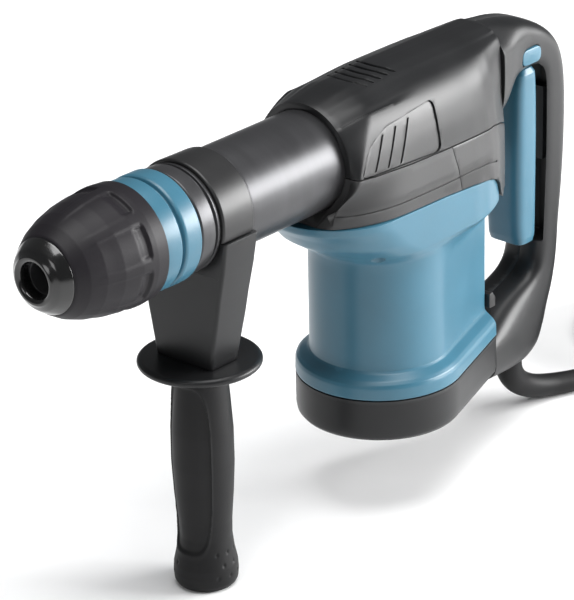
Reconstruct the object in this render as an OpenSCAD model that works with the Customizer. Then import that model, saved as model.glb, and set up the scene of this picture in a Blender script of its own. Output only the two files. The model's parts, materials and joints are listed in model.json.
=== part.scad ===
// Electric demolition hammer with a round shank socket, a D-handle and a side grip.
// Origin: on the barrel axis, where it crosses the rear grip. +X to the chuck, +Y left, +Z up.

/* [Overall] */
// Distance from the rear grip to the front end of the barrel
barrel_end = 319; // [300:1:345]
// Height of the crown above the barrel axis
crown_h = 40.5; // [40:0.5:46]
// Half width of the body above the motor
body_half = 43.5; // [42.5:0.5:50]
// Depth of the flat base below the barrel axis
base_depth = 177.4; // [172:0.2:200]
// Distance of the upright motor axis from the rear grip
motor_x = 150; // [148:1:156]

/* [Chuck] */
// Length of the chuck in front of the barrel
chuck_len = 113; // [105:1:130]
// Radius of the round tool shank
shank_r = 9; // [7:0.5:10]
// Outside radius of the tool holder tube
holder_r = 17.5; // [16:0.5:19]
// Outside radius of the release cover at its rear edge
cover_r = 34.2; // [32.5:0.1:38]
// Length of the close-fitting mouth of the tool socket
mouth_len = 28; // [24:1:29]
// Length of the glossy nose cap
nose_len = 9; // [7:0.5:12]
// Length of the collar screwed to the barrel
collar_len = 15.4; // [12:0.2:18]
// How far the release cover is pulled back
cover_travel = 8; // [5:0.5:9]

/* [Barrel] */
// Outside radius of the barrel
barrel_r = 30; // [29:0.2:31]
// Bore radius of the hammer cylinder
bore_r = 17.5; // [15:0.5:18]
// Wall of the hammer cylinder
cylinder_wall = 3.5; // [2.5:0.5:4]

/* [Side grip] */
// Width of the clamp strap along the barrel
strap_w = 25.4; // [20:0.2:30]
// Thickness of the clamp strap
strap_t = 2.6; // [2:0.2:3.4]
// Height of the grip flange below the barrel axis
flange_z = 87.2; // [80:0.2:95]
// Radius of the grip flange
flange_r = 35.2; // [28:0.2:40]
// Thickness of the grip flange
flange_t = 5; // [3:0.5:8]
// Length of the rubber grip below the flange
grip_len = 136.4; // [110:0.2:150]
// Largest radius of the rubber grip
grip_r = 17.8; // [16.5:0.1:20]

/* [Motor] */
// Outside radius of the blue motor housing
motor_r = 41.5; // [41:0.5:46]
// Wall of the blue motor housing
motor_wall = 4; // [3:0.5:5]
// Radius of the armature core
armature_r = 21; // [18:0.2:23]
// Radius of the armature shaft
armature_shaft_r = 5; // [4:0.5:5.5]
// Height of the base cap
cap_h = 27.4; // [24:0.2:30]

/* [Crank drive] */
// Tooth module of the gear pair
tooth_module = 1.2; // [1.1:0.05:1.25]
// Teeth on the motor pinion, an odd number
pinion_teeth = 9; // [9:2:11]
// Teeth on the crank gear, an even number
gear_teeth = 44; // [40:2:44]
// Crank radius, half the piston stroke
crank_r = 13; // [10:0.5:14]
// Centre distance of the connecting rod
rod_len = 75; // [70:0.5:78]
// Radius of the crank shaft
crank_shaft_r = 8; // [6.5:0.5:9]

/* [Rear handle] */
// Half width of the grip column
grip_half = 16; // [15:0.5:19]
// Wall of the handle shells
shell_wall = 2.6; // [2:0.1:3]
// Height of the trigger lever
trigger_h = 112; // [95:1:116]

/* [Cord] */
// Diameter of the mains cord
cord_d = 9.5; // [8:0.5:10.5]
// Outside radius of the coiled cord
coil_r = 76.3; // [72:0.1:90]

/* [Hidden] */
$fn = 96;

// Fits and clearances
run = 0.05;      // radial running clearance of a shaft in its bearing
slide = 0.1;     // radial clearance of a sliding piece
gap = 0.3;       // clearance between covers and moving pieces

// Chuck stations along the axis, all from the front end of the barrel
collar_end = barrel_end + collar_len;
nose_x = barrel_end + chuck_len;
cap_x = nose_x - nose_len;
holder_end = cap_x + 1;
holder_back = barrel_end - 18;
holder_rear_r = holder_r + 4;
sleeve_x = cap_x - 42;           // rear face of the locking sleeve
sleeve_len = 15;
sleeve_r = holder_r + 8.5;
spring_len = cover_travel + 4;
flange_x = sleeve_x - spring_len - 3;
cover_x = sleeve_x - 18;         // rear edge of the release cover
socket_floor = barrel_end + 12;
mouth_x = holder_end - mouth_len;   // rear end of the socket's close-fitting mouth
ring_r = cover_r - 1.6;          // outside radius of the blue ring
ring_end = cover_x + 3;
ring_bore_r = holder_r + 6.5;
skirt_r = ring_r + 0.4;          // inside radius of the cover skirt
bolt_x = holder_back + 1;
bolt_r = 14;
spring_wire = 1.4;

// Barrel stations
barrel_back = 200;
cylinder_r = bore_r + cylinder_wall;
cylinder_back = 168;
cylinder_end = holder_back - 2;
bearing_r = holder_rear_r + 4.5;

// Crank drive
teeth_sum = pinion_teeth + gear_teeth;
axis_gap = tooth_module * teeth_sum / 2;
crank_x = motor_x - axis_gap;
pressure = 25;
tip_height = 0.8;
root_depth = 1.1;
backlash = 0.3;
gear_z = -34;
gear_t = 10;
disc_z = -11;
disc_t = 4.5;
rod_t = 10;
pin_r = 5;
pin_x = crank_x - crank_r + rod_len;   // piston pin at the rear dead centre
piston_len = 28;
piston_x = pin_x - 12;
striker_len = 38;
striker_x = piston_x + piston_len + 40;

// Gear case
case_back = 84;
case_half = 36;
case_arch = 32.5;                // radius of the gear case's arched top
case_floor = -50;
chamber_half = 28;
web_z = -22.5;
cap_r = 14;                      // oil filler cap over the crank

// Body outline
wall = 3;
body_back = 62;
hood_x = barrel_back + 15;
taper = 18;                      // taper of the base towards the handle, degrees a side
housing_back = 73;
base_r = motor_r + 8.3;
base_z = -base_depth;
cap_z = base_z + cap_h;
flare_h = 15;
bearing_post = 14.4;             // height of the lower bearing's seat in the base cap
boss_h = 8;                      // height of the screw bosses inside the flare

// Side grip
strap_x = barrel_end - gap - strap_w;
strap_mid = strap_x + strap_w / 2;
leg_half = barrel_r + 1.6;       // outside half width of the strap's legs at the top
leg_in = 6;                      // how far each leg leans in on its way down
leg_z = -8;
plate_z = -44;
bolt_m8 = 4;
grip_end = -flange_z - flange_t - grip_len;

// Rear handle
trigger_top = 3;
trigger_half = grip_half - 2.3;
pivot_x = 20;
pivot_z = -2;
pivot_r = 2;                    // dowel that the trigger turns on
dial_r = 9;
dial_x = housing_back + 6.8;
dial_z = -116;
dial_y = 9.6;
dial_t = 6;
button_x = 27;
button_z = 11.7;
button_r = 7;

// Cord: the guard's and the tube's own route points, lying on the plane of the grip's end
floor_z = grip_end;
guard_route = [[26, 0, -174], [26, 0, -189], [24, 0, -200], [16, 0, -210], [4, 2, -217],
    [-11, 6, -220.6], [-28, 13, -221.6], [-46, 18, -221.8]];
cord_route = [[-46, 18, -222], [-56, 21, -223.6], [-65, 29, -223.8], [-71, 40, -223.8]];
coil_centre = [-145, 24];
coil_h = 38;
coil_w = 38.4;
tie_w = 5;
plug_r = 18;

// ---------- helpers ----------
module along_x(x, r, len) {
    translate([x, 0, 0]) rotate([0, 90, 0]) cylinder(r = r, h = len);
}

module tube_x(x, outer, inner, len) {
    difference() {
        along_x(x, outer, len);
        along_x(x - 1, inner, len + 2);
    }
}

module upright(x, y, z, r, len) {
    translate([x, y, z]) cylinder(r = r, h = len);
}

module ring_at(x, z, outer, inner, len) {
    difference() {
        upright(x, 0, z, outer, len);
        upright(x, 0, z - 1, inner, len + 2);
    }
}

module cross_pin(x, z, y, r, len) {
    translate([x, y, z]) rotate([-90, 0, 0]) cylinder(r = r, h = len);
}

// A block between two x, two y and two z values
module block(x0, x1, y0, y1, z0, z1) {
    translate([x0, y0, z0]) cube([x1 - x0, y1 - y0, z1 - z0]);
}

// Turns an outline drawn as (x, radius) about the X axis
module spin_x(outline) {
    rotate([90, 0, 90]) rotate_extrude() polygon([for (p = outline) [p[1], p[0]]]);
}

// Extrudes an outline drawn as (x, z) across the width, from y0 to y1
module side_plate(outline, y0, y1) {
    translate([0, y1, 0]) rotate([90, 0, 0]) linear_extrude(y1 - y0) polygon(outline);
}

// Extrudes a half outline drawn as (x, y), mirrored to both sides, from z0 to z1
module plan_block(half, z0, z1) {
    both = concat(half, [for (i = [len(half) - 1:-1:0]) [half[i][0], -half[i][1]]]);
    translate([0, 0, z0]) linear_extrude(z1 - z0) polygon(both);
}

function involute(a) = tan(a) - a * PI / 180;

// Half the angle of a tooth at radius r
function tooth_half(teeth, r) = let (pitch = tooth_module * teeth / 2,
    base = pitch * cos(pressure), a = acos(min(1, base / r)))
    90 / teeth - backlash / pitch * 90 / PI + (involute(pressure) - involute(a)) * 180 / PI;

module toothed_wheel(teeth, height) {
    pitch = tooth_module * teeth / 2;
    base = pitch * cos(pressure);
    root = pitch - root_depth * tooth_module;
    start = max(base, root);
    tip = pitch + tip_height * tooth_module;
    steps = 4;
    flank = [for (i = [0:steps]) start + (tip - start) * i / steps];
    linear_extrude(height) polygon([for (k = [0:teeth - 1]) let (c = 360 * k / teeth) each concat(
        [root * [cos(c - tooth_half(teeth, start)), sin(c - tooth_half(teeth, start))]],
        [for (r = flank) r * [cos(c - tooth_half(teeth, r)), sin(c - tooth_half(teeth, r))]],
        [for (i = [steps:-1:0]) let (r = flank[i])
            r * [cos(c + tooth_half(teeth, r)), sin(c + tooth_half(teeth, r))]],
        [root * [cos(c + tooth_half(teeth, start)), sin(c + tooth_half(teeth, start))]])]);
}

// Smooth curve through route points, and a round sweep along it
function curve_at(p, i, t) = let (a = p[max(i - 1, 0)], b = p[i], c = p[i + 1],
    d = p[min(i + 2, len(p) - 1)])
    0.5 * (2 * b + (c - a) * t + (2 * a - 5 * b + 4 * c - d) * t * t
        + (3 * b - 3 * c + d - a) * t * t * t);
function curve(p, n) = [for (i = [0:len(p) - 2]) for (k = [0:n - 1]) curve_at(p, i, k / n), p[len(p) - 1]];
function unit(v) = v / norm(v);

module sweep(path, r0, r1, sides) {
    n = len(path);
    heading = [for (i = [0:n - 1]) unit(path[min(i + 1, n - 1)] - path[max(i - 1, 0)])];
    across = [for (h = heading) unit(cross(h, [0, 1, 0.05]))];
    points = [for (i = [0:n - 1]) let (u = across[i], v = cross(heading[i], u),
        r = r0 + (r1 - r0) * i / (n - 1)) for (k = [0:sides - 1])
        path[i] + r * (cos(360 * k / sides) * u + sin(360 * k / sides) * v)];
    skin = [for (i = [0:n - 2]) for (k = [0:sides - 1]) let (m = (k + 1) % sides)
        [i * sides + k, (i + 1) * sides + k, (i + 1) * sides + m, i * sides + m]];
    first = [for (k = [0:sides - 1]) k];
    last = [for (k = [sides - 1:-1:0]) (n - 1) * sides + k];
    polyhedron(points, concat([first], skin, [last]), convexity = 6);
}

// ---------- outer body form ----------
// Plan of the body above the motor, as half outlines (x, y); inset shrinks it
function body_plan(inset) = [[body_back, 24 - inset], [76, 31 - inset], [98, 41 - inset],
    [110, body_half - inset], [hood_x - 14, body_half - inset], [hood_x - inset, 34 - inset]];

// Cross-section of the body, half outline (y, z) from the crown down
function body_section(inset) = [[0, crown_h - inset], [10 - inset / 3, crown_h - 0.7 - inset],
    [19 - inset / 2, crown_h - 4 - inset], [25 - inset * 0.7, crown_h - 9 - inset * 0.7],
    [32 - inset, crown_h - 19], [37.5 - inset, crown_h - 34], [body_half - 3 - inset, -8],
    [body_half - inset, -22], [body_half - inset, -200]];

// Side outline of the top cover, between the crown and the upper seam
seam_upper = [[body_back, -18], [87, -8.5], [138, -7.7], [hood_x, 0.5]];
seam_lower = [[66, -56], [74, -60], [84, -44], [98, -38], [142, -34], [hood_x, -33]];
crown_line = [[hood_x, 31], [hood_x - 21, crown_h], [120, 46], [74, 44.5], [body_back, 43]];

// The whole cross-section, both halves
function body_outline(inset) = let (half = body_section(inset))
    concat(half, [for (i = [len(half) - 1:-1:1]) [-half[i][0], half[i][1]]]);

module body_form(inset) {
    intersection() {
        translate([body_back, 0, 0]) rotate([90, 0, 90]) linear_extrude(hood_x - body_back)
            polygon(body_outline(inset));
        plan_block(body_plan(inset), -90, 60);
    }
}

// Round gap around the barrel in the front of the covers
module hood_opening() {
    along_x(barrel_back + 8, barrel_r + gap, 60);
    along_x(barrel_back - 30, barrel_r + 5.4, 38);
}

module body_shell(outline) {
    difference() {
        intersection() {
            body_form(0);
            side_plate(outline, -60, 60);
        }
        intersection() {
            body_form(wall);
            block(body_back + wall, hood_x - wall, -60, 60, -100, 60);
        }
        hood_opening();
    }
}

// Window in each flank of the top cover, which the louvred side cover fills
window = [[136, -4.5], [136, 20], [174, 20], [190, 8], [204, -0.5]];
window_outer = [[137, -4], [137, 19], [173.5, 19], [189, 7.4], [201, -0.4]];
window_y = 22;

module top_cover() {
    color("#26282b")
    difference() {
        body_shell(concat(seam_upper, crown_line));
        side_plate(window, -60, -window_y);
        side_plate(window, window_y, 60);
    }
}

module side_cover(side) {
    color("#3c3f43")
    mirror([0, side < 0 ? 1 : 0, 0])
    difference() {
        intersection() {
            body_form(0.4);
            side_plate(window_outer, window_y + gap, 60);
        }
        body_form(wall);
        for (i = [0:3])
            side_plate([[146 + 11 * i, 1], [152 + 11 * i, 14 - 3 * i], [155 + 11 * i, 14 - 3 * i],
                [149 + 11 * i, 1]], 0, 60);
    }
}

module left_side_cover() {
    side_cover(1);
}

module right_side_cover() {
    side_cover(-1);
}

band_split = 128;
band_outline = concat(seam_upper, [for (i = [len(seam_lower) - 1:-1:0]) seam_lower[i]]);

module band(x0, x1) {
    color("#34363a")
    intersection() {
        body_shell(band_outline);
        block(x0, x1, -60, 60, -90, 20);
    }
}

module front_band() {
    band(band_split + gap, hood_x + 1);
}

module rear_band() {
    band(body_back, band_split);
}

// ---------- motor housing ----------
// Plan of the motor housing: a round front with straight tapering sides to the rear
module motor_plan(r, back) {
    touch_x = motor_x - r * sin(taper);
    touch_y = r * cos(taper);
    back_y = touch_y - (touch_x - back) * tan(taper);
    translate([motor_x, 0]) circle(r = r);
    polygon([[motor_x, r], [touch_x, touch_y], [back, back_y], [back, -back_y],
        [touch_x, -touch_y], [motor_x, -r]]);
}

module motor_block(r, back, z0, z1) {
    translate([0, 0, z0]) linear_extrude(z1 - z0) motor_plan(r, back);
}

wing_line = [[150, -68], [193, -68], [204, -58], [224, -44], [229, -36], [hood_x, -33.4],
    [142, -34.4], [98, -38.4], [84, -44.4], [74.5, -60.4], [housing_back, -64], [housing_back, -68]];
wing_plan = [[60, 24], [76, 31], [98, 41], [110, body_half], [202, body_half], [220, 34], [230, 16]];

// Screws that hold the crank housing to the motor housing
housing_screw_at = [[188, 31], [188, -31], [104, 29], [104, -29]];
// Screws that hold the base cap
base_screw_at = [[motor_x + 27, 27], [motor_x + 27, -27], [90, 16], [90, -16]];

module motor_housing() {
    color("#6b93ad")
    difference() {
        union() {
            intersection() {
                side_plate(wing_line, -60, 60);
                plan_block(wing_plan, -80, 0);
            }
            motor_block(motor_r, housing_back, cap_z + flare_h, -67);
            hull() {
                motor_block(motor_r, housing_back, cap_z + flare_h, cap_z + flare_h + 0.1);
                motor_block(base_r - 0.5, housing_back, cap_z, cap_z + 0.1);
            }
        }
        difference() {
            motor_block(motor_r - motor_wall, housing_back + motor_wall, cap_z - 1, -67);
            for (p = base_screw_at) upright(p[0], p[1], cap_z, 5, boss_h);
        }
        upright(motor_x, 0, -70, motor_r - motor_wall, 18.5);
        intersection() {
            body_form(wall + 0.5);
            block(case_back - 1, barrel_back + 1, -60, 60, -51.5, 0);
        }
        hood_opening();
        for (p = housing_screw_at) upright(p[0], p[1], -90, 2.2, 50);
        for (p = housing_screw_at) upright(p[0], p[1], -90, 4.6, 32);
        for (p = base_screw_at) upright(p[0], p[1], cap_z - 1, 2, boss_h);
        block(housing_back - 5, dial_x + 10, dial_y - 0.4, dial_y + dial_t + 0.4, dial_z - 10, dial_z + 10);
    }
}

module base_cap() {
    color("#242629")
    difference() {
        motor_block(base_r, housing_back, base_z, cap_z - 0.3);
        difference() {
            motor_block(base_r - 5, housing_back + 4, base_z + 4, cap_z + 1);
            upright(motor_x, 0, base_z, 14, bearing_post);
            for (p = base_screw_at) upright(p[0], p[1], base_z, 6, cap_h);
        }
        upright(motor_x, 0, base_z + 6.4, 9.5, cap_h);
        for (p = base_screw_at) {
            upright(p[0], p[1], base_z - 1, 2.2, cap_h + 2);
            upright(p[0], p[1], base_z - 1, 4.2, 5);
        }
    }
}

module base_screws() {
    color("#9a9ca0")
    for (p = base_screw_at) {
        upright(p[0], p[1], base_z + 1.4, 4, 2.6);
        upright(p[0], p[1], base_z + 3.8, 2, cap_h + boss_h - 5.8);
    }
}

module housing_screws() {
    color("#9a9ca0")
    for (p = housing_screw_at) {
        upright(p[0], p[1], -61.8, 4.4, 3.8);
        upright(p[0], p[1], -58.2, 2, 28);
    }
}

// ---------- gear case ----------
module crank_housing() {
    color("#a9adb2")
    difference() {
        intersection() {
            union() {
                block(case_back, barrel_back, -case_half, case_half, case_floor, -12);
                block(case_back, barrel_back, -case_arch, case_arch, -13, 0);
                along_x(case_back, case_arch, barrel_back - case_back);
            }
            body_form(wall + 0.8);
        }
        along_x(case_back + 4, chamber_half, cylinder_back - case_back - 6);
        block(case_back + 4, cylinder_back - 2, -chamber_half, chamber_half, disc_z - 0.5, 0);
        along_x(cylinder_back - 10, cylinder_r, 100);
        upright(crank_x, 0, web_z - 1, 16, 20);
        upright(crank_x, 0, gear_z - 1.5, 30, web_z - gear_z + 1.5);
        upright(motor_x, 0, gear_z - 6, 8, web_z - gear_z + 6);
        upright(crank_x, 0, -46, 11, 12);
        upright(motor_x, 0, case_floor - 1, 11, 11);
        upright(crank_x, 0, 10, cap_r, 40);
        for (p = housing_screw_at) upright(p[0], p[1], case_floor - 1, 2, 22);
        difference() {
            along_x(cylinder_back + 6, chamber_half, barrel_back - cylinder_back - 11);
            along_x(cylinder_back, cylinder_r + 3, 40);
        }
        block(165, barrel_back - 5, -chamber_half, chamber_half, case_floor + 4, -cylinder_r - 6);
    }
}

module crank_cap() {
    color("#8d9196")
    difference() {
        upright(crank_x, 0, 26, cap_r, 8.5);
        upright(crank_x, 0, 25, cap_r - 4, 6);
    }
}

module barrel() {
    color("#55555c")
    difference() {
        union() {
            along_x(barrel_back, barrel_r, barrel_end - barrel_back);
            along_x(barrel_back, barrel_r + 4.6, 5);
        }
        along_x(barrel_back - 1, cylinder_r + 3, cylinder_end - 16 - barrel_back + 1);
        along_x(barrel_back, cylinder_r + 0.03, cylinder_end - barrel_back);
        along_x(cylinder_end, bearing_r, barrel_end - cylinder_end + 1);
    }
}

module barrel_collar() {
    color("#4b4b52")
    difference() {
        along_x(barrel_end, barrel_r + 1.3, collar_len);
        along_x(barrel_end - 1, holder_rear_r + gap, 3);
        along_x(barrel_end, holder_r + gap, collar_len + 1);
        tube_x(barrel_end + 3, barrel_r + 3, barrel_r - 0.1, 1.6);
    }
}

module front_bearing() {
    color("#b89f5a")
    tube_x(holder_back + 1, bearing_r, holder_rear_r + run, barrel_end - holder_back - 2);
}

module cylinder_tube() {
    color("#c4c7cb")
    difference() {
        along_x(cylinder_back, cylinder_r, cylinder_end - cylinder_back);
        along_x(cylinder_back - 1, bore_r, cylinder_end - cylinder_back + 2);
        for (a = [0:60:300])
            rotate([a, 0, 0]) upright(striker_x - 15, 0, 0, 2, cylinder_r + 2);
    }
}

module piston() {
    color("#c9ccd0")
    difference() {
        along_x(piston_x, bore_r - slide, piston_len);
        block(piston_x - 1, pin_x + 10, -30, 30, -rod_t / 2 - 0.3, rod_t / 2 + 0.3);
        upright(pin_x, 0, -30, pin_r, 60);
    }
}

module piston_pin() {
    color("#d8d8dc")
    upright(pin_x, 0, -bore_r + 3, pin_r, 2 * bore_r - 6);
}

module connecting_rod() {
    color("#b4b8bd")
    difference() {
        union() {
            upright(pin_x - rod_len, 0, -rod_t / 2, 10, rod_t);
            upright(pin_x, 0, -rod_t / 2, 8, rod_t);
            block(pin_x - rod_len + 5, pin_x - 4, -5, 5, -rod_t / 2 + 1, rod_t / 2 - 1);
        }
        upright(pin_x - rod_len, 0, -10, pin_r + run, 20);
        upright(pin_x, 0, -10, pin_r + run, 20);
    }
}

module crank_pin() {
    color("#d8d8dc")
    upright(crank_x - crank_r, 0, disc_z + disc_t + 0.2, pin_r, rod_t / 2 - disc_z - disc_t + 1);
}

module crank_shaft() {
    color("#b9bcc1")
    union() {
        upright(crank_x, 0, disc_z, crank_r + 7, disc_t);
        upright(crank_x, 0, gear_z, crank_shaft_r, disc_z - gear_z + 1);
        upright(crank_x, 0, -45, crank_shaft_r - 2, 12);
    }
}

module crank_gear() {
    color("#8f9297")
    difference() {
        translate([crank_x, 0, gear_z]) toothed_wheel(gear_teeth, gear_t);
        upright(crank_x, 0, gear_z - 1, crank_shaft_r, gear_t + 2);
        for (a = [45:90:315])
            translate([crank_x, 0, 0]) rotate([0, 0, a]) upright(17, 0, gear_z - 1, 4, gear_t + 2);
    }
}

module crank_bearings() {
    color("#c9ccd0")
    union() {
        ring_at(crank_x, web_z + 0.3, 16, crank_shaft_r + run, 10);
        ring_at(crank_x, -45.8, 11, crank_shaft_r - 2 + run, 9.6);
    }
}

module striker() {
    color("#9b9ea3")
    difference() {
        along_x(striker_x, bore_r - slide, striker_len);
        tube_x(striker_x + 8, bore_r + 1, bore_r - 2.4, 3);
    }
}

module striker_ring() {
    color("#2b2b2b")
    tube_x(striker_x + 8.1, bore_r - 0.06, bore_r - 2.4, 2.8);
}

module impact_bolt() {
    color("#a6a9ae")
    union() {
        along_x(bolt_x, shank_r - 1, 10);
        along_x(bolt_x + 8, bolt_r, 9);
        along_x(bolt_x + 16, shank_r - slide, 14);
    }
}

// ---------- chuck ----------
module tool_holder() {
    color("#6f7278")
    difference() {
        union() {
            along_x(holder_back, holder_rear_r, barrel_end + 1 - holder_back);
            along_x(holder_back, holder_r, holder_end - holder_back);
            along_x(flange_x, holder_r + 5.5, 3);
        }
        difference() {
            union() {
                along_x(socket_floor - 5, shank_r + 0.4, mouth_x - socket_floor + 5);
                along_x(mouth_x - 1, shank_r, nose_x);
            }
            for (side = [-1, 1])
                block(cap_x - 78, cap_x - 44, -2, 2, side * shank_r - 1.8, side * shank_r + 1.8);
        }
        along_x(holder_back - 1, bolt_r + slide, socket_floor - holder_back);
        block(sleeve_x + 1.8, sleeve_x + 13.2, -holder_r - 5, holder_r + 5, -3.1, 3.1);
    }
}

module locking_segments() {
    color("#9da0a5")
    for (side = [-1, 1])
        intersection() {
            along_x(sleeve_x + 2, holder_r - 0.1, 11);
            block(sleeve_x + 2, sleeve_x + 13, side * 12.6 - 5.6, side * 12.6 + 5.6, -3, 3);
        }
}

module locking_sleeve() {
    color("#85888d")
    tube_x(sleeve_x, sleeve_r, holder_r + slide, sleeve_len);
}

module sleeve_spring() {
    color("#b0b3b8")
    for (i = [0:3])
        tube_x(flange_x + 3 + i * (spring_len - spring_wire) / 3, holder_r + 3.4, holder_r + 1.2,
            spring_wire);
}

module nose_cap() {
    color("#141414")
    spin_x([[sleeve_x + sleeve_len + 0.3, holder_r], [sleeve_x + sleeve_len + 0.3, holder_r + 2.1],
        [cap_x - 0.3, holder_r + 2.1], [cap_x - 0.3, holder_r + 4], [cap_x + 3, holder_r + 1.5],
        [cap_x + 6, 15.6], [nose_x, 14], [nose_x, shank_r + 0.6], [holder_end, shank_r + 0.6],
        [holder_end, holder_r]]);
}

module release_cover() {
    color("#3a3640")
    spin_x([[cover_x, skirt_r], [cover_x, cover_r], [cover_x + 9, cover_r + 0.5],
        [cap_x - 31, cover_r - 1.3], [cap_x - 15, cover_r - 5], [cap_x - 5, cover_r - 9],
        [cap_x - 0.6, holder_r + 4.6], [cap_x - 0.6, holder_r + 2.5],
        [sleeve_x + sleeve_len, holder_r + 2.5], [sleeve_x + sleeve_len, sleeve_r],
        [sleeve_x - 0.2, sleeve_r], [sleeve_x - 0.2, skirt_r]]);
}

module change_ring() {
    color("#6b93ad")
    spin_x([[collar_end + 0.6, ring_bore_r], [collar_end + 0.6, ring_r - 0.6], [collar_end + 1.6, ring_r],
        [collar_end + 14, ring_r], [collar_end + 14, ring_r - 2.6], [collar_end + 16.6, ring_r - 2.6],
        [collar_end + 16.6, ring_r], [ring_end, ring_r], [ring_end, ring_bore_r],
        [collar_end + 16, ring_bore_r], [collar_end + 16, holder_r + slide],
        [collar_end + 11, holder_r + slide], [collar_end + 11, ring_bore_r]]);
}

// ---------- motor ----------
core_z = -132;
core_h = 54;
comm_z = -158;
winding_r = motor_r - motor_wall - 2;
fan_r = motor_r - motor_wall - 3;
bearing_z = base_z + 6.4;

module stator() {
    color("#7d8085")
    ring_at(motor_x, core_z, motor_r - motor_wall, armature_r + 0.6, core_h);
}

module stator_windings() {
    color("#a8602c")
    union() {
        ring_at(motor_x, core_z - 9, winding_r, armature_r + 3, 8.9);
        ring_at(motor_x, core_z + core_h + 0.1, winding_r, armature_r + 3, 8);
    }
}

module armature() {
    color("#6d7075")
    union() {
        upright(motor_x, 0, core_z, armature_r, core_h);
        upright(motor_x, 0, core_z - 8, armature_r - 4, core_h + 16);
        upright(motor_x, 0, bearing_z + 0.4, armature_shaft_r, gear_z - bearing_z - 1);
        translate([motor_x, 0, gear_z - 1]) toothed_wheel(pinion_teeth, gear_t + 1);
    }
}

module commutator() {
    color("#b87333")
    ring_at(motor_x, comm_z, 13.5, armature_shaft_r, 16);
}

module fan() {
    color("#d8d4c4")
    translate([motor_x, 0, 0])
    union() {
        ring_at(0, -65, fan_r, armature_shaft_r, 2);
        ring_at(0, -65, 11, armature_shaft_r, 10);
        for (a = [0:36:324])
            rotate([0, 0, a]) block(10, fan_r - 1, -0.8, 0.8, -64, -56);
    }
}

module motor_bearings() {
    color("#c9ccd0")
    union() {
        ring_at(motor_x, case_floor, 11, armature_shaft_r + run, 9.8);
        ring_at(motor_x, bearing_z, 9.5, armature_shaft_r + run, 7);
    }
}

module brush_holders() {
    color("#b59a4c")
    for (side = [-1, 1])
        difference() {
            block(motor_x - 6, motor_x + 6, side * 25 - 10, side * 25 + 10, comm_z + 1, comm_z + 13);
            block(motor_x - 4, motor_x + 4, side * 25 - 13, side * 25 + 13, comm_z + 3, comm_z + 11);
        }
}

module carbon_brushes() {
    color("#2c2c2e")
    for (side = [-1, 1])
        difference() {
            block(motor_x - 4, motor_x + 4, side * 21 - 9, side * 21 + 9, comm_z + 3, comm_z + 11);
            upright(motor_x, 0, comm_z, 13.6, 20);
        }
}

module speed_controller() {
    color("#1d3b2a")
    union() {
        block(80, 102, -10, 9, -150, -146);
        block(82, 96, -9, 8, -146, -96);
    }
}

module speed_dial() {
    color("#d9532f")
    difference() {
        cross_pin(dial_x, dial_z, dial_y, dial_r, dial_t);
        for (a = [0:20:340])
            translate([dial_x, 0, dial_z]) rotate([0, a, 0])
                block(dial_r - 0.7, dial_r + 1, 0, 30, -0.5, 0.5);
    }
}

// ---------- rear handle ----------
handle_back = [[body_back, 40], [50, 38.5], [26, 34], [10, 27], [-3, 17.5], [-10.5, 6], [-14, -8],
    [-15, -28], [-14.5, -60], [-12, -85], [-9, -105], [-7.5, -125], [-3, -145], [3, -161],
    [9, -174], [17, -185], [40, -187], [housing_back - gap, -184.5]];
handle_gap = [[housing_back - gap, -152], [50, -142], [30, -136], [18, -131], [14, -124], [12.5, -60],
    [12.5, -6], [16, 0], [34, 1.5], [58, -19], [body_back - gap, -19]];
upper_plan = [[-16, 4], [-13, 8], [-6, 12.5], [4, grip_half], [26, grip_half + 0.5], [body_back - gap, 24]];
lower_plan = [[-16, 4], [-13, 8], [-5, 12.5], [6, grip_half], [24, grip_half], [housing_back - gap, 27]];
hollow_plan = [[-9, 5], [-5, 9], [4, grip_half - shell_wall], [80, grip_half - shell_wall]];
handle_screw_at = [[50, 16], [-1, 9.5], [2, -124], [16, -152], [62, -168]];

module handle_form() {
    intersection() {
        side_plate(concat(handle_back, handle_gap), -40, 40);
        union() {
            plan_block(upper_plan, -70, 60);
            plan_block(lower_plan, -200, -70);
        }
        translate([-40, 0, 0]) rotate([90, 0, 90]) linear_extrude(160) polygon(body_outline(0));
    }
}

module handle_hollow() {
    intersection() {
        side_plate([[body_back + 1, 34], [48, 33], [26, 28.5], [12, 22], [1, 13], [-5, 3], [-8, -10],
            [-9, -30], [-8.5, -60], [-6, -86], [-3, -106], [-1.5, -126], [2, -143], [8, -159],
            [13, -170], [20, -180.5], [40, -182], [housing_back + 1, -180],
            [housing_back + 1, -158], [50, -147], [27, -141], [13, -136], [8.5, -124], [8, -60], [8, 0],
            [14, 5], [36, 5.5], [57, -14], [body_back + 1, -14]], -30, 30);
        plan_block(hollow_plan, -190, 60);
    }
}

module handle_half(side) {
    color("#2a2c2f")
    difference() {
        intersection() {
            handle_form();
            block(-60, 120, side > 0 ? 0 : -60, side > 0 ? 60 : 0, -220, 80);
        }
        difference() {
            handle_hollow();
            for (p = handle_screw_at) cross_pin(p[0], p[1], -30, 4.5, 60);
        }
        for (p = handle_screw_at) {
            cross_pin(p[0], p[1], -30, 2, 30 + grip_half - shell_wall - 1.4);
            cross_pin(p[0], p[1], -60, 4.2, 60 - grip_half + shell_wall + 2.4);
        }
        block(-7, 34.5, -trigger_half - gap, trigger_half + gap, trigger_top - trigger_h - 6,
            trigger_top + 1.4);
        cross_pin(pivot_x, pivot_z, -trigger_half - 1.5, pivot_r, 2 * trigger_half + 3);
        cross_pin(button_x, button_z, 0, button_r + 0.2, 30);
        upright(26, 0, -196, 8.9, 30);
        block(13, 39, -13, 13, -181, -168);
    }
}

module handle_left() {
    handle_half(1);
}

module handle_right() {
    handle_half(-1);
}

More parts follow.
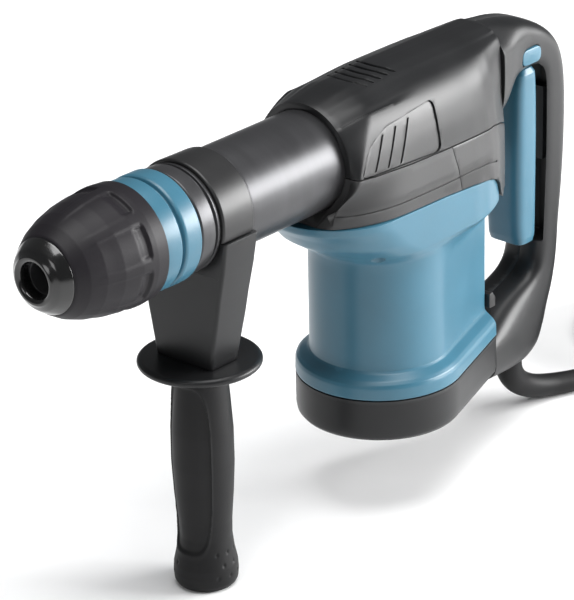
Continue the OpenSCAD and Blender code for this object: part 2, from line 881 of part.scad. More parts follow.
module handle_screws() {
    color("#9a9ca0")
    for (p = handle_screw_at) {
        cross_pin(p[0], p[1], -grip_half + shell_wall - 0.6, 4, 3);
        cross_pin(p[0], p[1], -grip_half + shell_wall + 2.4, 2, 20);
    }
    color("#9a9ca0") cross_pin(pivot_x, pivot_z, -trigger_half - 1.5, pivot_r, 2 * trigger_half + 3);
}

lever = [[14.5, trigger_top - 0.5], [28, trigger_top], [33, trigger_top - 3], [33.5, -40],
    [33, trigger_top - trigger_h + 8], [29, trigger_top - trigger_h - 2],
    [17, trigger_top - trigger_h - 3], [14.5, trigger_top - trigger_h + 4],
    [13.3, -60], [13.6, -20]];

module trigger() {
    color("#6b93ad")
    difference() {
        side_plate(lever, -trigger_half, trigger_half);
        cross_pin(pivot_x, pivot_z, -30, pivot_r + run, 60);
        side_plate([[0, 4], [26, -8], [30, -14], [30, trigger_top - trigger_h + 8],
            [22, trigger_top - trigger_h + 2], [0, trigger_top - trigger_h + 2]],
            -trigger_half + 2.4, trigger_half - 2.4);
    }
}

module switch_unit() {
    color("#1c1c1e")
    union() {
        block(-7.5, 0, -5.5, 5.5, -62, -18);
        block(-6, -2, -4, 4, -66, -61);
    }
}

module lock_button() {
    color("#6b93ad")
    cross_pin(button_x, button_z, grip_half - shell_wall - 1, button_r, shell_wall + 4.5);
}

module cord_clamp() {
    color("#1f2022")
    difference() {
        block(14, 38, -12.4, 12.4, -177, -169);
        upright(26, 0, -180, 8.7, 20);
    }
}

// ---------- cord ----------
module cord_guard() {
    color("#1d1e20")
    difference() {
        sweep(curve(guard_route, 4), 8.65, 6.7, 12);
        upright(26, 0, -180, cord_d / 2, 8);
    }
}

module power_cord() {
    color("#1b1b1c")
    sweep(curve(cord_route, 2), cord_d / 2, cord_d / 2, 12);
}

module cord_coil() {
    color("#1b1b1c")
    translate([coil_centre[0], coil_centre[1], floor_z + coil_h / 2])
    rotate_extrude()
    translate([coil_r - coil_w / 2, 0])
    intersection() {
        square([coil_w, coil_h], center = true);
        circle(r = coil_h * 0.68);
    }
}

module cable_tie() {
    color("#111111")
    translate([coil_centre[0] - coil_r + coil_w / 2, coil_centre[1], floor_z + coil_h / 2])
    difference() {
        block(-coil_w / 2 - 1.6, coil_w / 2 + 1.6, -tie_w / 2, tie_w / 2, -coil_h / 2, coil_h / 2 + 1.6);
        block(-coil_w / 2 - 0.2, coil_w / 2 + 0.2, -tie_w, tie_w, -coil_h / 2 - 1, coil_h / 2);
    }
}

plug_x = coil_centre[0] - 18;
plug_y = coil_centre[1] + coil_r - coil_w / 2;
plug_z = floor_z + coil_h + plug_r - 0.5;

module plug() {
    color("#1b1b1c")
    intersection() {
        along_plug(-32, plug_r, 52);
        translate([plug_x, plug_y, plug_z]) cube([120, 2 * plug_r, 2 * plug_r - 1], center = true);
    }
    color("#1b1b1c")
    along_plug(20, 7, 22);
}

// A cylinder on the plug's own axis, which lies on the coil along X
module along_plug(x, r, len) {
    translate([plug_x + x, plug_y, plug_z]) rotate([0, 90, 0]) cylinder(r = r, h = len);
}

module plug_pins() {
    color("#c8cacd")
    for (side = [-1, 1])
        translate([0, side * 9.5, 0]) along_plug(-51, 2.4, 19);
}

// ---------- side grip ----------
module clamp_strap() {
    color("#2a2a2d")
    difference() {
        union() {
            difference() {
                tube_x(strap_x, barrel_r + strap_t, barrel_r + run, strap_w);
                block(strap_x - 1, barrel_end, -60, 60, -60, leg_z);
            }
            for (side = [-1, 1])
                translate([strap_mid - 8, 0, 0]) rotate([90, 0, 90]) linear_extrude(16) polygon([
                    [side * (leg_half - 2.2), leg_z + 3], [side * leg_half, leg_z + 3],
                    [side * (leg_half - leg_in), plate_z], [side * (leg_half - leg_in - 2.2), plate_z]]);
            block(strap_mid - 8, strap_mid + 8, leg_in - leg_half, leg_half - leg_in, plate_z, plate_z + 3);
        }
        along_x(strap_x - 1, barrel_r + run, strap_w + 2);
        upright(strap_mid, 0, plate_z - 5, bolt_m8 + slide, 20);
    }
}

module handle_bracket() {
    color("#222326")
    difference() {
        translate([strap_x - 2, 0, 0]) rotate([90, 0, 90]) linear_extrude(strap_w + 2)
            polygon([[-leg_half - 2, leg_z - 0.6], [leg_half + 2, leg_z - 0.6], [leg_half - leg_in + 2, -44],
                [20, -flange_z + 0.2], [-20, -flange_z + 0.2], [leg_in - leg_half - 2, -44]]);
        along_x(strap_x - 5, barrel_r + run, strap_w + 10);
        translate([strap_mid - 8.3, 0, 0]) rotate([90, 0, 90]) linear_extrude(16.6) polygon([
            [-leg_half - 0.4, leg_z + 3], [leg_half + 0.4, leg_z + 3], [leg_half - leg_in + 0.4, plate_z],
            [leg_half - leg_in + 0.4, plate_z - 6], [leg_in - leg_half - 0.4, plate_z - 6],
            [leg_in - leg_half - 0.4, plate_z]]);
        upright(strap_mid, 0, -flange_z - 1, bolt_m8 + slide, 60);
    }
}

module clamp_bolt() {
    color("#a4a7ab")
    union() {
        upright(strap_mid, 0, plate_z + 3.1, 6.5, 5.5);
        upright(strap_mid, 0, -flange_z - 45, bolt_m8, flange_z + 45 + plate_z + 4);
    }
}

module grip_core() {
    color("#1d1e20")
    difference() {
        union() {
            upright(strap_mid, 0, -flange_z - flange_t, flange_r, flange_t);
            upright(strap_mid, 0, grip_end + 6, 11, -flange_z - grip_end - 6);
        }
        upright(strap_mid, 0, -flange_z - 50, bolt_m8 + slide, 60);
    }
}

module grip_sleeve() {
    color("#191a1c")
    translate([strap_mid, 0, grip_end])
    rotate_extrude()
    polygon([[0, 0], [16.5, 0], [grip_r + 0.7, 3], [grip_r + 0.7, 14], [grip_r - 2.6, 30],
        [grip_r - 2, 42], [grip_r, 75], [grip_r, 100], [grip_r - 2.1, 122],
        [grip_r - 2.1, grip_len - 0.2], [11.05, grip_len - 0.2], [11.05, 6], [0, 6]]);
}

barrel();
barrel_collar();
front_bearing();
crank_housing();
crank_cap();
top_cover();
left_side_cover();
right_side_cover();
front_band();
rear_band();
motor_housing();
base_cap();
base_screws();
housing_screws();
handle_left();
handle_right();
handle_screws();
cylinder_tube();  // cylinder
piston();
piston_pin();
connecting_rod();
crank_pin();
crank_shaft();
crank_gear();
crank_bearings();
striker();
striker_ring();
impact_bolt();
tool_holder();
locking_segments();
locking_sleeve();
sleeve_spring();
nose_cap();
release_cover();
change_ring();
stator();
stator_windings();
armature();
commutator();
fan();
motor_bearings();
brush_holders();
carbon_brushes();
speed_controller();
speed_dial();
switch_unit();
trigger();
lock_button();
cord_clamp();
cord_guard();
power_cord();
cord_coil();
cable_tie();
plug();
plug_pins();
clamp_strap();
handle_bracket();
clamp_bolt();
grip_core();
grip_sleeve();
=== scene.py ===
# %% [markdown]
# # An electric demolition hammer
# The machine is a barrel with a chuck, a gear case under a black hood, an upright motor in a blue
# housing and a D-handle behind. The engineering model holds every part at its real size. Here each
# part that can be seen is remade with softer edges, true curves and real finishes, in the same place.
# %%
import json
import math
import bmesh
import bpy
from mathutils import Matrix, Vector


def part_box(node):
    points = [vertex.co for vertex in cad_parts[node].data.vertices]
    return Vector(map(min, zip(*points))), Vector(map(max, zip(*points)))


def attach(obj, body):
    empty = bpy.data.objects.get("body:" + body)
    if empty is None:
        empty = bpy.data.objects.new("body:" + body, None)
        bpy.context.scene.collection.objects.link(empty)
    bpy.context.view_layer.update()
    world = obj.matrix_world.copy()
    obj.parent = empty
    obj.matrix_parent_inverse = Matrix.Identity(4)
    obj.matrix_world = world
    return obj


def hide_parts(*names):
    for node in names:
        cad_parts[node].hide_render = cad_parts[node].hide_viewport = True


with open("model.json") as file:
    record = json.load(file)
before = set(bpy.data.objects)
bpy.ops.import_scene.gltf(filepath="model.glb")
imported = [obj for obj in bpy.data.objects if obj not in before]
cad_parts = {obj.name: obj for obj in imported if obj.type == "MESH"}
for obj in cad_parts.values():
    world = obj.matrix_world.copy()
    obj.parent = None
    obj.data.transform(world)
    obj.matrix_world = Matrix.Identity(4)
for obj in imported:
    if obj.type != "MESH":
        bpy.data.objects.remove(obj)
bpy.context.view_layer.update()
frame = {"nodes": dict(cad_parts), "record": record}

MM = 0.001

# %% [markdown]
# ## Camera
# A long lens from the front left and a little above keeps the barrel, hood and grip nearly parallel,
# as in a catalogue picture. The camera's axes are written as a turn, so the horizon leans slightly.
# %% Place the camera
AXES = Matrix(((-0.65495, -0.31781, 0.68560), (0.75543, -0.25255, 0.60460), (-0.01900, 0.91390, 0.40549)))
CAMERA_AT = Vector((1.6337, 1.2363, 0.7493))
lens = bpy.data.cameras.new("camera")
lens.lens = 216
lens.sensor_width = 36
lens.clip_end = 20
camera = bpy.data.objects.new("camera", lens)
camera.matrix_world = Matrix.Translation(CAMERA_AT) @ AXES.to_4x4()
bpy.context.scene.collection.objects.link(camera)
bpy.context.scene.camera = camera
print("camera distance:", round(CAMERA_AT.length, 3), "m")

# %% [markdown]
# ## Finishes
# Moulded nylon, rubber and machined steel all have a fine surface that breaks up reflections. One
# function mixes three things: a slow drift of colour, a patchy roughness, and a fine bump. Worn edges
# get a little lighter, where handling polishes them. Constant values go straight on the sockets.
# %% A finish from its numbers
def finish(name, colour, rough, metal=0.0, grain=900.0, depth=0.00002, drift=0.12, edge=0.25, coat=0.0,
           patch=30.0, stretch=(1, 1, 1), shine=0.5):
    mat = bpy.data.materials.new(name)
    mat.use_nodes = True
    nodes, link = mat.node_tree.nodes, mat.node_tree.links.new
    shader = nodes["Principled BSDF"]
    shader.inputs["Metallic"].default_value = metal
    shader.inputs["Coat Weight"].default_value = coat
    shader.inputs["Coat Roughness"].default_value = 0.12
    shader.inputs["Specular IOR Level"].default_value = shine
    place = nodes.new("ShaderNodeTexCoord")
    turn = nodes.new("ShaderNodeMapping")
    turn.inputs["Scale"].default_value = stretch
    link(place.outputs["Object"], turn.inputs["Vector"])
    slow = nodes.new("ShaderNodeTexNoise")
    slow.inputs["Scale"].default_value = patch
    slow.inputs["Detail"].default_value = 4
    fine = nodes.new("ShaderNodeTexNoise")
    fine.inputs["Scale"].default_value = grain
    fine.inputs["Detail"].default_value = 3
    for noise in (slow, fine):
        link(turn.outputs["Vector"], noise.inputs["Vector"])
    tint = nodes.new("ShaderNodeValToRGB")
    low, high = tint.color_ramp.elements
    low.position, high.position = 0.3, 0.7
    low.color = (*[c * (1 - drift) for c in colour], 1)
    high.color = (*[min(1, c * (1 + drift)) for c in colour], 1)
    link(slow.outputs["Fac"], tint.inputs["Fac"])
    form = nodes.new("ShaderNodeNewGeometry")
    worn = nodes.new("ShaderNodeMapRange")
    worn.inputs["From Min"].default_value = 0.53
    worn.inputs["From Max"].default_value = 0.62
    worn.inputs["To Max"].default_value = edge
    link(form.outputs["Pointiness"], worn.inputs["Value"])
    rub = nodes.new("ShaderNodeMix")
    rub.data_type = "RGBA"
    rub.inputs["B"].default_value = (*[min(1, c * 1.6 + 0.03) for c in colour], 1)
    link(worn.outputs["Result"], rub.inputs["Factor"])
    link(tint.outputs["Color"], rub.inputs["A"])
    link(rub.outputs["Result"], shader.inputs["Base Color"])
    gloss = nodes.new("ShaderNodeMapRange")
    gloss.inputs["To Min"].default_value = rough - 0.05
    gloss.inputs["To Max"].default_value = rough + 0.07
    link(slow.outputs["Fac"], gloss.inputs["Value"])
    link(gloss.outputs["Result"], shader.inputs["Roughness"])
    bump = nodes.new("ShaderNodeBump")
    bump.inputs["Strength"].default_value = 1.0
    bump.inputs["Distance"].default_value = depth
    link(fine.outputs["Fac"], bump.inputs["Height"])
    link(bump.outputs["Normal"], shader.inputs["Normal"])
    return mat

# %% [markdown]
# One finish per kind of stuff on the machine. The blue is glass-filled nylon, the covers are charcoal
# nylon with a satin grain, the cone of the chuck is soft rubber, and its nose is glossy rubber.
# The barrel is black-anodised metal, brushed round by turning.
# %% Every finish, by the name of its slot
FINISH = {
    "blue_plastic": finish("blue_plastic", (0.036, 0.130, 0.190), 0.34, edge=0.3, drift=0.05, shine=0.5),
    "black_plastic": finish("black_plastic", (0.0095, 0.0098, 0.0105), 0.36, edge=0.5, grain=1100,
                            shine=0.32),
    "grey_plastic": finish("grey_plastic", (0.014, 0.014, 0.0145), 0.36, edge=0.4, grain=1100, shine=0.4),
    "black_rubber": finish("black_rubber", (0.0085, 0.0085, 0.009), 0.50, edge=0.3, grain=700, depth=0.00004,
                           shine=0.22),
    "cover_rubber": finish("cover_rubber", (0.0095, 0.0082, 0.0105), 0.48, edge=0.2, grain=800,
                           depth=0.00003, shine=0.22),
    "gloss_rubber": finish("gloss_rubber", (0.006, 0.006, 0.006), 0.16, edge=0.1, depth=0.000006, coat=0.4),
    "dark_steel": finish("dark_steel", (0.055, 0.055, 0.058), 0.34, 0.6, edge=0.4, grain=500,
                         depth=0.000012, stretch=(4, 0.6, 0.6)),
    "steel": finish("steel", (0.50, 0.50, 0.51), 0.28, 1.0, edge=0.3, grain=400, stretch=(3, 1, 1)),
    "cast_alloy": finish("cast_alloy", (0.47, 0.48, 0.49), 0.46, 0.9, edge=0.3, grain=350, depth=0.00005),
    "bronze": finish("bronze", (0.42, 0.28, 0.11), 0.35, 1.0, edge=0.3),
    "copper": finish("copper", (0.55, 0.22, 0.09), 0.34, 1.0, edge=0.2, grain=300, depth=0.00006,
                     stretch=(1, 1, 5)),
    "brass": finish("brass", (0.60, 0.43, 0.16), 0.30, 1.0, edge=0.3),
    "carbon": finish("carbon", (0.015, 0.015, 0.015), 0.62, edge=0.2),
    "fan_plastic": finish("fan_plastic", (0.55, 0.50, 0.38), 0.50, edge=0.1),
    "board": finish("board", (0.012, 0.075, 0.035), 0.40, edge=0.2),
    "dial_orange": finish("dial_orange", (0.55, 0.085, 0.025), 0.35, edge=0.3),
    "cord_rubber": finish("cord_rubber", (0.013, 0.013, 0.0135), 0.46, edge=0.2, depth=0.00003),
    "plated": finish("plated", (0.66, 0.67, 0.69), 0.18, 1.0, edge=0.2),
}
SLOT_OF = {row["node"]: row["material_slot"] for row in frame["record"]["subparts"]}
for node, obj in frame["nodes"].items():
    obj.data.materials.clear()
    obj.data.materials.append(FINISH[SLOT_OF[node]])
print("finishes:", len(FINISH))

# %% [markdown]
# ## Making shapes
# Three ways of making a form cover nearly every piece. `turned` spins an outline, like a lathe.
# `skin` wraps a grid round a form that is given by a formula, like a moulded shell. `slab` extrudes an
# outline across the machine, like a cookie cutter, and it is mostly used to cut shells along a seam.
# All are drawn in millimetres and scaled to metres once.
# %% From a bmesh to an object
def solid(name, bm):
    bmesh.ops.remove_doubles(bm, verts=bm.verts, dist=0.001)
    bmesh.ops.recalc_face_normals(bm, faces=bm.faces)
    bmesh.ops.scale(bm, vec=(MM, MM, MM), verts=bm.verts)
    mesh = bpy.data.meshes.new(name)
    bm.to_mesh(mesh)
    bm.free()
    obj = bpy.data.objects.new(name, mesh)
    bpy.context.scene.collection.objects.link(obj)
    return obj


def settle(obj):
    """Applies the modifiers of a piece to its mesh."""
    bpy.context.view_layer.update()
    shaped = obj.evaluated_get(bpy.context.evaluated_depsgraph_get())
    mesh = bpy.data.meshes.new_from_object(shaped)
    obj.modifiers.clear()
    obj.data = mesh
    return obj


def carve(obj, tool, operation="DIFFERENCE"):
    """Cuts a piece with a tool shape, or keeps what they share."""
    cut = obj.modifiers.new("carve", "BOOLEAN")
    cut.operation = operation
    cut.solver = "EXACT"
    cut.object = tool
    settle(obj)
    bpy.data.objects.remove(tool)
    return obj


# %% Turning, wrapping and extruding
def turned(name, outline, steps=96, axis=(1, 0, 0), centre=(0, 0, 0)):
    """Spins a closed outline of (along, radius) points about an axis."""
    bm = bmesh.new()
    upright = axis[2] == 1
    verts = [bm.verts.new((r, 0, a) if upright else (a, 0, r)) for a, r in outline]
    edges = [bm.edges.new((verts[i - 1], verts[i])) for i in range(len(verts))]
    bmesh.ops.spin(bm, geom=verts + edges, cent=(0, 0, 0), axis=axis, angle=2 * math.pi, steps=steps,
                   use_merge=True)
    bmesh.ops.translate(bm, vec=centre, verts=bm.verts)
    return solid(name, bm)


def skin(name, form, around, along):
    """Wraps a grid round form(u, v), where u goes round from 0 to 1 and v goes along."""
    bm = bmesh.new()
    bmesh.ops.create_grid(bm, x_segments=around, y_segments=along, size=0.5)
    for vert in bm.verts:
        vert.co = form(vert.co.x + 0.5, vert.co.y + 0.5)
    bmesh.ops.remove_doubles(bm, verts=bm.verts, dist=0.001)
    bmesh.ops.holes_fill(bm, edges=[e for e in bm.edges if e.is_boundary], sides=0)
    return solid(name, bm)


def slab(name, outline, y0, y1, soften=0.0):
    """Extrudes an outline of (x, z) points across the machine, from y0 to y1."""
    bm = bmesh.new()
    face = bm.faces.new([bm.verts.new((x, y0, z)) for x, z in outline])
    grown = bmesh.ops.extrude_face_region(bm, geom=[face])["geom"]
    bmesh.ops.translate(bm, vec=(0, y1 - y0, 0),
                        verts=[g for g in grown if isinstance(g, bmesh.types.BMVert)])
    if soften:
        bmesh.ops.bevel(bm, geom=list(bm.edges), offset=soften, segments=4, profile=0.5, affect="EDGES",
                        material=-1)
    return solid(name, bm)


def brick(name, low, high, soften=0.0):
    outline = [(low[0], low[2]), (high[0], low[2]), (high[0], high[2]), (low[0], high[2])]
    return slab(name, outline, low[1], high[1], soften)


def rod(name, start, end, radius, steps=48):
    """A plain round cutter or pin between two points."""
    bm = bmesh.new()
    line = Vector(end) - Vector(start)
    bmesh.ops.create_cone(bm, cap_ends=True, segments=steps, radius1=radius, radius2=radius,
                          depth=line.length)
    bmesh.ops.rotate(bm, cent=(0, 0, 0), matrix=line.to_track_quat("Z", "Y").to_matrix(), verts=bm.verts)
    bmesh.ops.translate(bm, vec=(Vector(start) + Vector(end)) / 2, verts=bm.verts)
    return solid(name, bm)


def add_bar(bm, radius, low, high, place):
    """A round bar in a mesh that is being built. It runs from low to high where place is None: y or z."""
    new = bmesh.ops.create_cone(bm, cap_ends=True, segments=32, radius1=radius, radius2=radius,
                                depth=high - low)["verts"]
    if place[1] is None:
        bmesh.ops.rotate(bm, cent=(0, 0, 0), matrix=Matrix.Rotation(-math.pi / 2, 3, "X"), verts=new)
    middle = (low + high) / 2
    bmesh.ops.translate(bm, vec=[middle if at is None else at for at in place], verts=new)


# %% [markdown]
# An outline's corners are rounded before it is spun or extruded, the way a moulder rounds every edge,
# because a sharp edge catches no light. `between` reads a value off straight lines through
# a short list of stations.
# %% Rounding and reading values
def rounded(points, radius, steps=4, closed=True):
    out = []
    count = len(points)
    for i, (x, z) in enumerate(points):
        here = Vector((x, z))
        if not closed and i in (0, count - 1):
            out.append((x, z))
            continue
        back = Vector(points[i - 1]) - here
        ahead = Vector(points[(i + 1) % count]) - here
        reach = min(radius, 0.45 * back.length, 0.45 * ahead.length)
        a = here + back.normalized() * reach
        b = here + ahead.normalized() * reach
        for k in range(steps + 1):
            t = k / steps
            p = a * (1 - t) ** 2 + here * 2 * t * (1 - t) + b * t ** 2
            out.append((p.x, p.y))
    return out


def between(stations, x):
    """The value at x on straight lines between (x, value) stations."""
    if x <= stations[0][0]:
        return stations[0][1]
    for (x0, a), (x1, b) in zip(stations, stations[1:]):
        if x <= x1:
            t = (x - x0) / (x1 - x0)
            return a + (b - a) * t
    return stations[-1][1]


def ease(low, high, x):
    t = max(0.0, min(1.0, (x - low) / (high - low)))
    return t * t * (3 - 2 * t)


def smooth_line(points, t):
    """A point at t from 0 to 1 on a smooth curve through the points."""
    place = t * (len(points) - 1)
    i = min(int(place), len(points) - 2)
    f = place - i
    a, b = Vector(points[max(i - 1, 0)]), Vector(points[i])
    c, d = Vector(points[i + 1]), Vector(points[min(i + 2, len(points) - 1)])
    return 0.5 * (2 * b + (c - a) * f + (2 * a - 5 * b + 4 * c - d) * f * f
                  + (3 * b - 3 * c + d - a) * f ** 3)


# %% Finishing a piece
def dress(obj, slot, body, nodes=(), edge=0.0, crease=35):
    """Softens edges, shades, paints and hangs a piece on its body."""
    if edge:
        soft = obj.modifiers.new("edge", "BEVEL")
        soft.width = edge * MM
        soft.segments = 2
        soft.limit_method = "ANGLE"
        soft.angle_limit = math.radians(crease)
        soft.use_clamp_overlap = True
        settle(obj)
    obj.data.materials.clear()
    obj.data.materials.append(FINISH[slot])
    obj.data.shade_smooth()
    obj.data.set_sharp_from_angle(angle=math.radians(crease))
    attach(obj, body)
    if nodes:
        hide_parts(*nodes)
    print(obj.name, len(obj.data.polygons), "faces")
    return obj


# %% [markdown]
# ## The cord
# A hammer of this size has five metres of heavy rubber cord, 9.5 mm thick. It leaves the handle
# through a long guard, lies on the floor, and the rest is wound in a coil, four turns side by
# side and up to four high, with the plug on top. The turns are worked out one by one, so the cord has
# its whole length.
# %% The route of the cord, in millimetres
CORD_D = 9.5
FLOOR = -228.6
CORD_ROUTE = [(-46, 18, -222), (-56, 21, -223.6), (-65, 29, -223.8), (-71, 40, -223.8)]
COIL_AT = (-145, 24)
COIL_R = [71.5, 61.9, 52.3, 42.7]
LAYER = 9.5


def coil_turns(turns, start_angle):
    """Turns that spiral in on one layer and out on the next, each layer a diameter higher."""
    points = []
    per_turn = 28
    for k in range(int(turns * per_turn) + 1):
        t = k / per_turn
        layer, place = divmod(t, len(COIL_R))
        column = int(place)
        step = ease(0.82, 1.0, place - column)
        order = COIL_R if layer % 2 == 0 else COIL_R[::-1]
        inner = column == len(COIL_R) - 1
        following = order[column] if inner else order[column + 1]
        radius = order[column] + (following - order[column]) * step
        rise = step if inner else 0
        angle = start_angle + 2 * math.pi * t
        height = min(layer + rise, 3)
        points.append((COIL_AT[0] + radius * math.cos(angle), COIL_AT[1] + radius * math.sin(angle),
                       FLOOR + CORD_D / 2 + 0.05 + LAYER * height))
    return points


PLUG_TAIL = (-121.5, 81.1, -173.1)
START_TURN = math.radians(24)
END_TURN = math.radians(2)
lead = [smooth_line(CORD_ROUTE, k / 8) for k in range(8)]
turns = 14 + (END_TURN - START_TURN) / (2 * math.pi)
wound = coil_turns(turns, START_TURN)
last = Vector(wound[-1])
heading = Vector((-math.sin(END_TURN), math.cos(END_TURN), 0))
tail = []
for k in range(1, 13):
    t = k / 12
    reach = 30
    a, b, c, d = last, last + heading * reach, Vector(PLUG_TAIL) + Vector((reach, 0, -4)), Vector(PLUG_TAIL)
    tail.append(a * (1 - t) ** 3 + 3 * b * t * (1 - t) ** 2 + 3 * c * t * t * (1 - t) + d * t ** 3)
route = [Vector(p) for p in lead] + [Vector(p) for p in wound] + tail

line = bpy.data.curves.new("power_cord_run", "CURVE")
line.dimensions = "3D"
line.bevel_depth = CORD_D / 2 * MM
line.bevel_resolution = 5
line.use_fill_caps = True
spline = line.splines.new("POLY")
spline.points.add(len(route) - 1)
for point, place in zip(spline.points, route):
    point.co = (*(place * MM), 1)
cord = bpy.data.objects.new("power_cord_run", line)
bpy.context.scene.collection.objects.link(cord)
line.materials.append(FINISH["cord_rubber"])
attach(cord, "body")
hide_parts("power_cord", "cord_coil")

# %% [markdown]
# The plug is moulded on, so it has a soft body, finger grooves and a ribbed tail. A strap of webbing
# holds the coil together. The two round pins are plated.
# %% Plug and tie
plug_low, plug_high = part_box("plug")
plug_x0, plug_x1 = plug_low.x / MM, plug_high.x / MM
plug_y = (plug_low.y + plug_high.y) / 2 / MM
plug_z = PLUG_TAIL[2]


def plug_form(u, v):
    x = plug_x0 + (plug_x1 - plug_x0) * v
    length = plug_x1 - plug_x0
    size = between([(0, 0.0), (0.001, 0.80), (0.03, 0.96), (0.07, 1.0), (0.50, 1.0), (0.66, 0.82),
                    (0.72, 0.45), (0.74, 0.40), (0.985, 0.34), (0.999, 0.30), (1, 0.0)], v)
    if 0.74 < v < 0.97:
        size -= 0.035 * (0.5 + 0.5 * math.cos((v - 0.74) * length * 1.4))
    if 0.12 < v < 0.46:
        size -= 0.025 * (0.5 - 0.5 * math.cos((v - 0.12) * length * 1.26))
    a = 2 * math.pi * u
    flat = 1 - 0.03 * ease(0.6, 1, abs(math.sin(a))) if v < 0.66 else 1
    return Vector((x, plug_y + 17.6 * size * math.cos(a), plug_z + 17.4 * size * math.sin(a) * flat))


plug = dress(skin("mains_plug", plug_form, 64, 120), "black_rubber", "body", ["plug"])
tie_low, tie_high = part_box("cable_tie")
tie = brick("coil_tie", tie_low / MM, tie_high / MM, 1.2)
carve(tie, brick("inside", (tie_low.x / MM + 1.4, tie_low.y / MM - 2, tie_low.z / MM - 3),
                 (tie_high.x / MM - 1.4, tie_high.y / MM + 2, tie_high.z / MM - 1.4), 1.5))
dress(tie, "black_plastic", "body", ["cable_tie"], 0.25)

# %% [markdown]
# The cord guard is a tapered rubber sleeve that keeps the cord from kinking where it leaves the
# handle. It is smooth and stiff here, with a shallow step at its end.
# %% Cord guard
GUARD_ROUTE = [(26, 0, -174), (26, 0, -189), (24, 0, -200), (16, 0, -210), (4, 2, -217),
               (-11, 6, -220.6), (-28, 13, -221.6), (-46, 18, -221.8)]


def guard_form(u, v):
    at = smooth_line(GUARD_ROUTE, v)
    spot_before = smooth_line(GUARD_ROUTE, max(0, v - 0.01))
    spot_after = smooth_line(GUARD_ROUTE, min(1, v + 0.01))
    ahead = (spot_after - spot_before).normalized()
    side = ahead.cross(Vector((0, 1, 0.05))).normalized()
    up = ahead.cross(side)
    radius = between([(0, 8.6), (0.2, 8.5), (0.85, 6.9), (0.97, 6.7), (1, 6.0)], v)
    a = 2 * math.pi * u
    return at + radius * (math.cos(a) * side + math.sin(a) * up)


dress(skin("cord_guard_sleeve", guard_form, 48, 72), "black_rubber", "body", ["cord_guard"])

# %% [markdown]
# ## The chuck
# The chuck is a nest of turned pieces: a glossy nose ring, a soft cone that is pulled back to free the
# chisel, a blue ring that sets the chisel's angle, and a steel collar. Spinning an outline gives them
# the true round form and the fine steps between them.
# %% Nose, cone and ring
BARREL_END = 319.0
COLLAR_END = 334.4
CONE_X = 363.0
CAP_X = 423.0
NOSE_X = 432.0
nose = [(CAP_X - 8, 20.5), (CAP_X - 0.2, 21.4), (CAP_X + 0.4, 21.2), (CAP_X + 3, 19.6), (CAP_X + 6, 17.4),
        (NOSE_X - 1.2, 14.6), (NOSE_X, 13.4), (NOSE_X, 12.2), (NOSE_X - 0.8, 10.6), (NOSE_X - 3, 9.8),
        (NOSE_X - 8, 9.7), (NOSE_X - 12, 10.5)]
dress(turned("nose_ring", rounded(nose, 1.0)), "gloss_rubber", "tool_holder", ["nose_cap"])
cone_line = [(CONE_X, 33.2), (CONE_X + 0.3, 34.0), (CONE_X + 9, 34.7), (CONE_X + 20, 34.2),
             (CONE_X + 32, 32.6), (CONE_X + 43, 29.9), (CONE_X + 52, 26.4), (CONE_X + 58.5, 22.6),
             (CONE_X + 59.4, 21.7)]


def cone_form(u, v):
    a = 2 * math.pi * u
    x = CONE_X + 59.4 * v
    radius = between(cone_line, x)
    lobe = (a / (2 * math.pi) * 8) % 1.0
    panel = ease(0.10, 0.14, lobe) * (1 - ease(0.86, 0.90, lobe))
    reach = ease(CONE_X + 13.0, CONE_X + 14.6, x) * (1 - ease(CONE_X + 36, CONE_X + 52, x))
    radius -= 0.45 * panel * reach
    notch = ease(0.16, 0.20, lobe) * (1 - ease(0.80, 0.84, lobe))
    radius -= 1.2 * notch * ease(CONE_X + 12.6, CONE_X + 14.0, x) * (1 - ease(CONE_X + 16.5, CONE_X + 22, x))
    return Vector((x, radius * math.cos(a), radius * math.sin(a)))


cone = skin("release_cone", cone_form, 256, 120)
carve(cone, turned("hollow", [(CONE_X - 1, 0.1), (CONE_X - 1, 32.2), (CONE_X + 16, 32.2), (CONE_X + 26, 26),
                              (CONE_X + 26, 0.1)]))
carve(cone, rod("bore", (CONE_X - 2, 0, 0), (CONE_X + 70, 0, 0), 20.2, 96))
carve(cone, rod("ring_space", (CONE_X - 2, 0, 0), (CONE_X + 12.2, 0, 0), 32.85, 128))
dress(cone, "cover_rubber", "release_cover", ["release_cover"], crease=50)
RING_R = 32.6
ring = [(COLLAR_END + 0.8, 24.5), (COLLAR_END + 0.8, RING_R - 1.0), (COLLAR_END + 1.8, RING_R),
        (COLLAR_END + 12.4, RING_R), (COLLAR_END + 13.8, RING_R - 0.6),
        (COLLAR_END + 14.2, RING_R - 2.6), (COLLAR_END + 16.2, RING_R - 2.6),
        (COLLAR_END + 16.6, RING_R - 0.5), (COLLAR_END + 17.4, RING_R - 0.2),
        (CONE_X + 2.6, RING_R - 0.6), (CONE_X + 2.6, 24.5)]
dress(turned("angle_ring", rounded(ring, 0.6), 128), "blue_plastic", "change_ring", ["change_ring"],
      crease=40)

# %% [markdown]
# The collar and the barrel are dark metal. The clamp of the side grip is a band on the barrel's end,
# and the barrel shows a fine step behind it.
# %% Barrel and collar
HOOD_X = 215.0
barrel = [(HOOD_X - 12, 22), (HOOD_X - 12, 30), (BARREL_END - 28, 30), (BARREL_END - 27.2, 29.9),
          (BARREL_END - 0.4, 29.9), (BARREL_END, 29.5), (BARREL_END, 22)]
dress(turned("barrel_tube", rounded(barrel, 0.5), 160), "dark_steel", "body", ["barrel"])
collar = [(BARREL_END, 22), (BARREL_END, 30.6), (BARREL_END + 2.6, 31.2), (BARREL_END + 3.0, 29.6),
          (BARREL_END + 4.4, 29.6), (BARREL_END + 4.8, 31.3), (COLLAR_END - 1.2, 31.3),
          (COLLAR_END, 30.2), (COLLAR_END, 22)]
dress(turned("front_collar", rounded(collar, 0.4), 128), "dark_steel", "body", ["barrel_collar"], crease=50)

